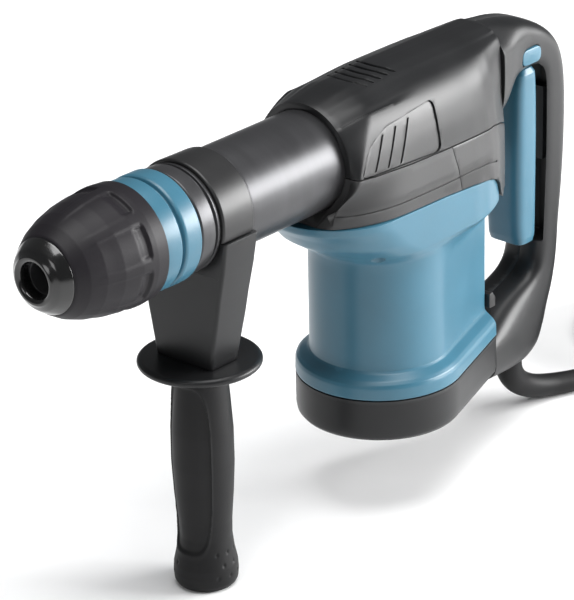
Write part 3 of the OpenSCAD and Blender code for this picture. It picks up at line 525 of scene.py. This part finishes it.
# %% [markdown]
# ## The side grip
# A plastic clamp hugs the barrel, split by a slit. A tapered bracket hangs below it and carries a
# round guard plate and the rubber grip. The bracket's corners lean in towards the plate.
# %% Clamp band and bracket
STRAP_X0, STRAP_X1 = 293.3, 318.7
BRACKET = [(-87.0, 296.6, 319.4, 20.4), (-58, 294.6, 319.6, 25.8), (-44, 293.8, 319.5, 28.0),
           (-26, 292.6, 319.0, 31.2), (-8.8, 291.6, 318.6, 33.4)]


def bracket_form(u, v):
    z = -87.0 + 78.2 * v
    x0 = between([(s[0], s[1]) for s in BRACKET], z)
    x1 = between([(s[0], s[2]) for s in BRACKET], z)
    half = between([(s[0], s[3]) for s in BRACKET], z)
    plan = rounded([(x0, -half), (x1, -half), (x1, half), (x0, half)], 2.2, 6)
    x, y = plan[round(u * len(plan)) % len(plan)]
    return Vector((x, y, z))


bracket = skin("grip_bracket", bracket_form, 28, 40)
carve(bracket, rod("barrel_space", (280, 0, 0), (340, 0, 0), 30.15, 96))
carve(bracket, rod("bolt_space", (306, 0, -95), (306, 0, -36), 4.2))
dress(bracket, "black_plastic", "side_handle", ["handle_bracket"], 0.5, 42)
strap_line = [(STRAP_X0, 30.08), (STRAP_X0, 31.6), (STRAP_X0 + 0.8, 32.2), (STRAP_X1 - 1.0, 32.6),
              (STRAP_X1, 31.9), (STRAP_X1, 30.08)]
strap = turned("clamp_band", rounded(strap_line, 0.5), 128)
carve(strap, brick("slit_space", (STRAP_X0 - 2, -60, -60), (STRAP_X1 + 2, 60, -8.0)))
dress(strap, "grey_plastic", "side_handle", ["clamp_strap"])

# %% [markdown]
# The grip's rubber has a long oval panel, a waist, a flared end and a scatter of dimples. The form is
# a radius that depends on the height and on the way round, so the panel's edge follows the curve.
# %% Guard plate and rubber grip
GRIP_X = (STRAP_X0 + STRAP_X1) / 2
PLATE_Z = -87.2
plate = [(PLATE_Z, 4.2), (PLATE_Z, 33.4), (PLATE_Z - 1.6, 35.2), (PLATE_Z - 3.6, 35.2), (PLATE_Z - 5.0, 33.6),
         (PLATE_Z - 5.4, 18), (PLATE_Z - 5.4, 4.2)]
dress(turned("guard_plate", rounded(plate, 1.4), 128, (0, 0, 1), (GRIP_X, 0, 0)), "black_plastic",
      "side_grip",
      ["grip_core"])
GRIP_END = -228.6
GRIP_LENGTH = 136.2
GRIP_LINE = [(GRIP_END, 15.2), (-227.6, 16.8), (-225, 18.2), (-220, 18.6), (-215, 18.3), (-207, 16.6),
             (-198, 15.5), (-188, 15.7), (-172, 16.9), (-153, 17.9), (-132, 17.8), (-112, 16.5),
             (-100, 15.6), (-92.4, 15.4)]
DIMPLE_R = 1.5
DIMPLED_R = 17  # the grip's radius where the dimples are


def dimple(angle, z):
    """How deep the dimples are here: three staggered rows near the flare."""
    depth = 0.0
    for row, height in enumerate((-205.5, -212.5, -219.5)):
        for k in range(11):
            spot = math.radians(65 + 26 * k + 13 * (row % 2))
            apart = abs((angle - spot + math.pi) % (2 * math.pi) - math.pi) * DIMPLED_R
            depth = max(depth, 1 - math.hypot(apart, z - height) / DIMPLE_R)
    return max(0.0, depth)


def grip_form(u, v):
    z = GRIP_END + GRIP_LENGTH * v
    a = 2 * math.pi * u
    radius = between(GRIP_LINE, z)
    swing = (a + math.pi) % (2 * math.pi) - math.pi
    oval = (abs(swing) / math.radians(57)) ** 4 + (abs(z + 153) / 52) ** 4
    radius -= 1.0 * (1 - ease(0.86, 1.06, oval))
    radius += 0.35 * ease(0.92, 1.04, oval) * (1 - ease(1.04, 1.35, oval))
    radius += 0.5 * (1 - ease(0.0, 0.55, oval))
    radius -= 0.8 * dimple(a, z)
    return Vector((GRIP_X + radius * math.cos(a), radius * math.sin(a), z))


dress(skin("grip_rubber", grip_form, 224, 200), "black_rubber", "side_grip", ["grip_sleeve"], crease=60)

# %% [markdown]
# ## The hood and its bands
# One moulded form runs from the handle to the barrel: a crown with a crisp crease on each side, flanks
# that lean out, and a front that closes in on the barrel. The form is made once as a skin, and copies
# of it are cut along the seams, so neighbouring pieces line up exactly.
# %% The form of the body
SECTION = [(0, 40.6), (9, 40.0), (16.4, 37.6), (18.6, 36.2), (26, 32.6), (33, 23), (37.6, 8), (40.4, -7),
           (43.2, -22), (43.8, -40), (43.8, -66), (0, -66)]
HALF_WIDTH = [(62, 24.6), (68, 28.4), (74, 32), (84, 37.8), (96, 41.8), (110, 43.4), (126, 43.8)]
PER_SPAN = 6


def section_at(u):
    """A point (y, z) on the cross-section, u from 0 at the crown round to 1."""
    spans = len(SECTION) - 1
    side = 1 if u <= 0.5 else -1
    place = (u if u <= 0.5 else 1 - u) * 2 * spans
    i = min(int(place), spans - 1)
    f = place - i
    y = SECTION[i][0] * (1 - f) + SECTION[i + 1][0] * f
    z = SECTION[i][1] * (1 - f) + SECTION[i + 1][1] * f
    if i not in (1, 2, 9, 10):
        p = smooth_line(SECTION[:9], min(1, place / 8)) if place <= 8 else None
        if p is not None:
            y, z = p.x, p.y
    return side * y, z


def body_form(inset):
    def form(u, v):
        y, z = section_at(u)
        edge_x = 190 + 0.62 * max(-4, min(36, 35 - z)) if z > -4 else 214.2 + 8 * ease(-4, -30, z)
        body_part = 0.86
        if v <= body_part:
            x = 62 + (edge_x - 62) * v / body_part
        else:
            x = edge_x
        lean = min(1, max(0, (abs(y) - 9) / 30))
        width = between(HALF_WIDTH, x) / 43.8
        y *= 1 + lean * (width - 1)
        round_off = ease(edge_x - 46, edge_x + 4, x)
        if z < -4:
            low = ease(4, 26, -z)
            t = max(0.0, min(1.0, (x - edge_x + 52) / 56))
            y *= 1 - low * (1 - math.sqrt(max(0.0, 1 - 0.72 * t ** 2.4)))
        if z > 30:
            z -= 2.2 * round_off
        if inset:
            size = math.hypot(y, z)
            y, z = y * (1 - inset / size), z * (1 - inset / size)
        if v > body_part:
            t = (v - body_part) / (1 - body_part)
            angle = math.atan2(y, z)
            lip = Vector((HOOD_X + (7 if z < -30 else 0), 34.2 * math.sin(angle), 34.2 * math.cos(angle)))
            if z < -34:
                lip = Vector((HOOD_X + 12, y * 0.6, z))
            mid = Vector((x + (lip.x - x) * 0.35 + 1.5, y + (lip.y - y) * 0.30, z + (lip.z - z) * 0.22))
            here = Vector((x, y, z))
            return here * (1 - t) ** 2 + mid * 2 * t * (1 - t) + lip * t * t
        return Vector((x, y, z))
    return form


def body_copy(name, inset=0.0):
    return skin(name, body_form(inset), 2 * PER_SPAN * (len(SECTION) - 1), 56)


# %% [markdown]
# The seams are outlines seen from the side. A cutter keeps what lies above, between or below them,
# and each shell stays SEAM back from its line, so that a fine gap shows between two shells.
# %% Seams as outlines (x, z)
SEAM_TOP = [(40, -19.4), (62, -18), (75, -12.5), (87, -9), (110, -7.9), (138, -7.4), (170, -6.6),
            (200, -4.6), (214, -3), (240, -1)]
SEAM_LOW = [(58, -58), (66, -58), (71, -60.5), (76, -57), (82, -47), (88, -42), (98, -38.4), (115, -36),
            (142, -34.4), (180, -33.6), (212, -33.2), (240, -33)]
SEAM = 0.35


def above(line, top=70, gap=SEAM):
    return [(x, z + gap) for x, z in line] + [(line[-1][0], top), (line[0][0], top)]


def strip(top, low):
    return [(x, z - SEAM) for x, z in top] + [(x, z + SEAM) for x, z in reversed(low)]


hood = body_copy("hood_cover")
carve(hood, slab("cutter", above(SEAM_TOP), -70, 70), "INTERSECT")
WINDOW = rounded([(141, -7), (141, 23.5), (160, 21.4), (185, 19.2), (201, 12), (212, -3.6)], 5)
for side in (-1, 1):
    pocket = slab("pocket", WINDOW, side * 26, side * 70)
    keep = body_copy("keep", 1.7)
    carve(pocket, keep)
    carve(hood, pocket)
hood_bore = rod("barrel_space", (205, 0, 0), (260, 0, 0), 30.2, 96)
carve(hood, hood_bore)
carve(hood, rod("gear_space", (80, 0, 0), (212, 0, 0), 24, 64))


# %% [markdown]
# Five curved slots in the crown let cooling air in. Each cutter is a thin bar that bends forwards in
# the middle, and all five are cut into the hood.
# %% Vents in the crown
def vent(name, x):
    def form(u, v):
        y = -14.6 + 29.2 * v
        a = 2 * math.pi * u
        bend = 4.6 * (1 - (y / 14.6) ** 2)
        taper = 1 - 0.7 * ease(0.94, 1.0, v) - 0.7 * ease(0.94, 1.0, 1 - v)
        return Vector((x + bend + 1.25 * taper * math.cos(a), y,
                       40.6 - (y / 14.6) ** 2 * 2.4 + 3.2 * math.sin(a)))
    return skin(name, form, 12, 24)


for k in range(5):
    carve(hood, vent("vent_cut", 176.5 - 6.3 * k))
dress(hood, "black_plastic", "body", ["top_cover"], 0.35, 34)

# %% [markdown]
# The louvred side covers sit a little below the hood's surface. Their slots lean back like the real
# ones, and each one is a slanted cutter that does not go right through.
# %% Side covers
INSERT = rounded([(141.6, -6.4), (141.6, 22.8), (160, 20.8), (184.6, 18.6), (200.4, 11.6), (210.8, -3.2)], 5)
SLOTS = [((209.5, -2.0), (203.6, 8.5)), ((198.5, -2.8), (187.5, 15.5)), ((187.5, -3.6), (175.5, 17)),
         ((176.5, -4.2), (164, 18.4))]
for side, node in ((1, "left_side_cover"), (-1, "right_side_cover")):
    cover = slab(node + "_panel", INSERT, side * 24, side * 70)
    carve(cover, body_copy("outer", 0.9), "INTERSECT")
    for (x0, z0), (x1, z1) in SLOTS:
        cut = slab("slot", [(x0 - 0.9, z0), (x0 + 0.9, z0), (x1 + 0.9, z1), (x1 - 0.9, z1)], side * 20,
                   side * 70)
        carve(cut, body_copy("floor", 2.6))
        carve(cover, cut)
    dress(cover, "grey_plastic", "body", [node], 0.25, 34)

# %% Bands round the gear case
PART = [(118.5, -70), (126.5, -36), (132.5, -5), (132.5, 10)]
for name, node, front in (("front_band_shell", "front_band", True), ("rear_band_shell", "rear_band", False)):
    band = body_copy(name)
    carve(band, slab("cutter", strip(SEAM_TOP, SEAM_LOW), -70, 70), "INTERSECT")
    edge_line = [(x + (0.2 if front else -0.2), z) for x, z in PART]
    far = 300 if front else 0
    carve(band, slab("cutter", edge_line + [(far, 10), (far, -70)], -70, 70), "INTERSECT")
    groove = [(x, z + 7.2 + 4 * ease(150, 80, x)) for x, z in SEAM_LOW[5:]]
    groove += [(x, z + 0.9) for x, z in reversed(groove)]
    line_cut = slab("groove", groove, -70, 70)
    carve(line_cut, body_copy("floor", 0.9))
    carve(band, line_cut)
    carve(band, rod("barrel_space", (205, 0, 0), (260, 0, 0), 30.2, 96))
    carve(band, rod("gear_space", (80, 0, 0), (212, 0, 0), 24, 64))
    dress(band, "grey_plastic", "body", [node], 0.35, 34)

# %% [markdown]
# ## The blue motor housing
# The housing is round in front and tapers to the handle. Its top grows a wing that carries the gear
# case, and its foot steps out over the black base cap. Each height has its own plan, and the skin
# runs through them all.
# %% The plan at each height
MOTOR_X = 150.0
BACK_X = 73.0
TAPER = math.radians(18)


def plan_point(u, radius, forward, upper):
    """A point (x, y) on the plan at one height; upper goes from 0, the motor, to 1, the wing."""
    side = 1 if u <= 0.5 else -1
    t = (u if u <= 0.5 else 1 - u) * 2
    touch = Vector((MOTOR_X - radius * math.sin(TAPER), radius * math.cos(TAPER)))
    corner = Vector((BACK_X, touch.y - (touch.x - BACK_X) * math.tan(TAPER)))
    wide = [(BACK_X, 28.6), (78, 32.6), (88, 37.2), (98, 41), (112, 43.4), (MOTOR_X, 43.9),
            (MOTOR_X + forward, 43.9)]
    if t < 0.12:
        low = Vector((BACK_X, corner.y * t / 0.12))
        high = Vector((BACK_X, 28.6 * t / 0.12))
    elif t < 0.5:
        f = (t - 0.12) / 0.38
        low = corner.lerp(touch, f)
        x = BACK_X + (MOTOR_X + forward - BACK_X) * f
        high = Vector((x, between(wide, x)))
    else:
        f = (t - 0.5) * 2
        a = (math.pi / 2 + TAPER) * (1 - f)
        low = Vector((MOTOR_X + radius * math.cos(a), radius * math.sin(a)))
        a = math.pi / 2 * (1 - f)
        high = Vector((MOTOR_X + forward + 42.4 * math.cos(a), 43.9 * math.sin(a)))
    p = low.lerp(high, upper)
    return Vector((p.x, side * p.y))


HOUSING = [(-150.1, 49.9, 0, 0), (-149.6, 50.1, 0, 0), (-143.2, 49.9, 0, 0), (-141.2, 49.2, 0, 0),
           (-139.4, 47.4, 0, 0), (-136.6, 42.8, 0, 0), (-135.4, 41.7, 0, 0), (-133, 41.5, 0, 0),
           (-110, 41.5, 0, 0), (-90, 41.5, 0, 0), (-74, 41.5, 0, 0.0), (-68, 41.6, 2, 0.25),
           (-64, 41.9, 6, 0.75), (-60, 42.4, 12, 1), (-52, 43.4, 24.5, 1), (-44, 43.9, 31.5, 1),
           (-38, 43.9, 38, 1), (-30, 43.9, 41, 1)]


def housing_form(u, v):
    place = v * (len(HOUSING) - 1)
    i = min(int(place), len(HOUSING) - 2)
    f = place - i
    z, radius, forward, upper = [a * (1 - f) + b * f for a, b in zip(HOUSING[i], HOUSING[i + 1])]
    p = plan_point(u, radius, forward, upper)
    return Vector((p.x, p.y, z))


housing = skin("motor_housing_shell", housing_form, 160, 5 * (len(HOUSING) - 1))
below = [(x, z - SEAM) for x, z in SEAM_LOW] + [(240, -190), (40, -190)]
carve(housing, slab("cutter", below, -70, 70), "INTERSECT")
carve(housing, rod("motor_space", (MOTOR_X, 0, -160), (MOTOR_X, 0, -72), 37.5, 96))
carve(housing, rod("barrel_space", (180, 0, 0), (260, 0, 0), 31.5, 96))
carve(housing, brick("dial_slot", (66, 9.0, -126.5), (84, 16.2, -105.5)))
for side in (-1, 1):
    carve(housing, rod("screw_well", (188, side * 31, -90), (188, side * 31, -58), 4.4))
dress(housing, "blue_plastic", "body", ["motor_housing"], 0.5, 34)
HOUSING_SCREWS = ((188, 31), (188, -31), (104, 29), (104, -29))
bm = bmesh.new()
for x, y in HOUSING_SCREWS:
    for radius, low, high in ((3.1, -57.2, -54.2), (1.9, -54.2, -40.5)):
        add_bar(bm, radius, low, high, (x, y, None))
dress(solid("housing_screw_set", bm), "steel", "body", ["housing_screws"], 0.25, 40)

# %% [markdown]
# The base cap closes the foot. It follows the same plan, so it is the same function with another list
# of heights. Four screws go in from below.
# %% Base cap
CAP = [(-177.4, 30), (-177.4, 45.4), (-176.6, 47.6), (-174.6, 49.2), (-171.6, 49.8), (-160, 49.9),
       (-151.2, 49.9), (-150.9, 49.4)]


def cap_form(u, v):
    place = v * (len(CAP) - 1)
    i = min(int(place), len(CAP) - 2)
    f = place - i
    z = CAP[i][0] * (1 - f) + CAP[i + 1][0] * f
    radius = CAP[i][1] * (1 - f) + CAP[i + 1][1] * f
    p = plan_point(u, radius, 0, 0)
    return Vector((p.x, p.y, z))


cap = skin("base_cap_shell", cap_form, 160, 3 * (len(CAP) - 1))
for x, y in ((177, 27), (177, -27), (90, 16), (90, -16)):
    carve(cap, rod("screw_well", (x, y, -180), (x, y, -172.6), 4.2))
dress(cap, "black_plastic", "body", ["base_cap"], 0.4, 34)

# %% [markdown]
# ## The D-handle
# The handle is two shells that meet down the middle. The form runs round the D: at each station there
# is an outer point, an inner point and a half width, and the cross-section between them is a rounded
# rectangle that takes the hood's arched shape where the two meet.
# %% The form of the handle
LOOP = [((62.2, 40.2), (62.2, -18.2), 24.4), ((50, 38.7), (53, -14.5), 21.6),
        ((38, 36.8), (42, -3.5), 18.6), ((26, 33.8), (31, 0.6), 16.7), ((12, 27.6), (20.5, 0.8), 16.0),
        ((1, 20.2), (15.4, -1.6), 15.6), ((-7.6, 10), (13.2, -5.4), 15.2),
        ((-12.6, -3), (12.6, -12), 15.0), ((-14.8, -20), (12.5, -24), 15.0),
        ((-15, -42), (12.5, -42), 15.0), ((-14.2, -62), (12.6, -62), 15.0),
        ((-12.2, -84), (13, -84), 15.0), ((-9.6, -104), (13.6, -103), 15.0),
        ((-8, -120), (14.2, -117), 15.2), ((-5.6, -134), (16.6, -127), 15.6),
        ((-2, -147), (22, -132.6), 16.2), ((3.4, -160), (30, -136.2), 17.2),
        ((8.4, -171.4), (40, -139.6), 18.8), ((16, -181.4), (50, -143.2), 20.8),
        ((30, -186.6), (58, -146.4), 22.8), ((48, -186.6), (66, -149.4), 25.0),
        ((72.7, -184.6), (72.7, -152), 27.0)]


def handle_form(u, v):
    outer = smooth_line([(*s[0], s[2]) for s in LOOP], v)
    inner = smooth_line([(*s[1], s[2]) for s in LOOP], v)
    half = outer.z
    a = 2 * math.pi * u
    cx, cy = math.cos(a), math.sin(a)
    power = 0.62 if v > 0.12 else 0.62 - 0.22 * (1 - v / 0.12)
    across = math.copysign(abs(cy) ** power, cy)
    depth = math.copysign(abs(cx) ** 0.62, cx)
    t = 0.5 + 0.5 * depth
    arch = 1 - 0.42 * ease(0.72, 1.0, t) * (1 - ease(0.0, 0.14, v))
    x = inner.x + (outer.x - inner.x) * t
    z = inner.y + (outer.y - inner.y) * t
    return Vector((x, half * across * arch, z))


HANDLE_SCREWS = ((50, 16), (-1, 9.5), (2, -124), (16, -152), (62, -168))
TRIGGER_PIN = (20, -2)


def handle_shell(name, side):
    obj = skin(name, handle_form, 96, 168)
    low, high = (0.12, 60) if side > 0 else (-60, -0.12)
    carve(obj, brick("half", (-60, low, -220), (120, high, 80)), "INTERSECT")
    carve(obj, brick("trigger_slot", (-5, -13.95, -113.4), (36, 13.95, 4.2), 0.8))
    carve(obj, slab("button_well", rounded([(17.4, 6.6), (36.6, 6.6), (36.6, 17.8), (17.4, 17.8)], 5.2), -8,
                    40))
    for x, z in HANDLE_SCREWS:
        if side < 0:
            carve(obj, rod("screw_well", (x, -40, z), (x, -12.2, z), 4.2, 32))
    return obj


for name, node, side in (("handle_shell_left", "handle_left", 1), ("handle_shell_right", "handle_right", -1)):
    dress(handle_shell(name, side), "black_plastic", "body", [node], 0.35, 34)
bm = bmesh.new()
for x, z in HANDLE_SCREWS:
    for radius, low, high in ((3.9, -12.6, -10.4), (1.9, -10.4, 8.0)):
        add_bar(bm, radius, low, high, (x, None, z))
add_bar(bm, 1.9, -12.4, 12.4, (TRIGGER_PIN[0], None, TRIGGER_PIN[1]))
dress(solid("handle_screw_set", bm), "steel", "body", ["handle_screws"], 0.25, 40)

# %% [markdown]
# ## Controls
# The trigger is a long blue lever that fills the whole hand. The lock button above it has a ring
# pressed into its face, and the speed wheel peeps out of the housing's back corner.
# %% Trigger
LEVER = [(-112.2, 18.4, 28.0), (-110.6, 15.4, 31.0), (-106, 14.2, 32.4), (-96, 13.8, 33.2),
         (-70, 13.5, 33.6), (-40, 13.4, 33.6), (-18, 13.8, 33.4), (-8, 14.4, 33.0), (-1, 15.2, 32.0),
         (2.0, 17.0, 29.6), (2.9, 19.6, 27.2)]


def lever_form(u, v):
    place = v * (len(LEVER) - 1)
    i = min(int(place), len(LEVER) - 2)
    f = place - i
    z, back, front = [a * (1 - f) + b * f for a, b in zip(LEVER[i], LEVER[i + 1])]
    full = min(1.0, (front - back) / 17.5) ** 0.5
    a = 2 * math.pi * u
    cx, cy = math.cos(a), math.sin(a)
    x = (back + front) / 2 + (front - back) / 2 * math.copysign(abs(cx) ** 0.55, cx)
    return Vector((x, 13.5 * full * math.copysign(abs(cy) ** 0.42, cy), z))


dress(skin("trigger_lever", lever_form, 80, 100), "blue_plastic", "trigger", ["trigger"])

# %% Lock button, speed wheel and tab
button = slab("lock_pad", rounded([(18, 7.2), (36, 7.2), (36, 17.2), (18, 17.2)], 4.8), 12.4, 17.7, 0.0)
carve(button, turned("ring_mark", [(17.2, 2.0), (17.2, 2.6), (18.4, 2.6), (18.4, 2.0)], 40, (0, 0, 1)))
dress(button, "blue_plastic", "lock_button", ["lock_button"], 0.9, 40)
bm = bmesh.new()
bmesh.ops.create_circle(bm, cap_ends=True, radius=9.0, segments=72)
for vert in bm.verts:
    turn = math.atan2(vert.co.y, vert.co.x)
    vert.co *= 1 - 0.07 * (0.5 + 0.5 * math.cos(18 * turn))
grown = bmesh.ops.extrude_face_region(bm, geom=list(bm.faces))["geom"]
bmesh.ops.translate(bm, vec=(0, 0, 6), verts=[g for g in grown if isinstance(g, bmesh.types.BMVert)])
bmesh.ops.rotate(bm, cent=(0, 0, 0), matrix=Matrix.Rotation(-math.pi / 2, 3, "X"), verts=bm.verts)
bmesh.ops.translate(bm, vec=(79.8, 9.6, -116), verts=bm.verts)
dress(solid("speed_wheel", bm), "dial_orange", "speed_dial", ["speed_dial"], 0.35, 30)
tab = slab("cover_tab", rounded([(66.5, -135), (72.4, -135), (72.4, -126), (69.4, -125.2), (66.5, -129)],
                                1.0), 13.5, 21.5)
dress(tab, "grey_plastic", "body", [], 0.4)

# %% [markdown]
# ## Stage
# A plain pale floor and big soft lights. One panel stands behind and to the left, so that the round
# flanks carry a broad streak. A weak one fills from the front, and a large one overhead lights the floor.
# %% Floor, lights and world
bm = bmesh.new()
bmesh.ops.create_grid(bm, x_segments=2, y_segments=2, size=6000)
bmesh.ops.translate(bm, vec=(0, 0, FLOOR), verts=bm.verts)
floor = solid("floor", bm)
floor.data.materials.append(finish("floor_paper", (0.9, 0.9, 0.9), 0.9, edge=0.0, drift=0.01, grain=60))


def panel(name, place, aim, size, power):
    light = bpy.data.lights.new(name, "AREA")
    light.shape = "RECTANGLE"
    light.size, light.size_y = size
    light.energy = power
    obj = bpy.data.objects.new(name, light)
    obj.location = place
    obj.rotation_euler = (Vector(aim) - Vector(place)).to_track_quat("-Z", "Y").to_euler()
    bpy.context.scene.collection.objects.link(obj)


panel("flank_panel", (-1.05, 1.15, 0.35), (0.12, 0, -0.02), (1.3, 0.75), 62)
panel("front_panel", (2.2, 0.7, 1.2), (0.15, 0, -0.05), (0.9, 0.9), 8)
panel("floor_panel", (0.2, 0.3, 3.4), (0.1, 0.1, -0.2), (2.6, 2.6), 150)
world = bpy.data.worlds.new("studio")
world.use_nodes = True
world.node_tree.nodes["Background"].inputs["Color"].default_value = (0.95, 0.97, 1.0, 1)
world.node_tree.nodes["Background"].inputs["Strength"].default_value = 0.16
bpy.context.scene.world = world
bpy.context.scene.view_settings.view_transform = "Standard"
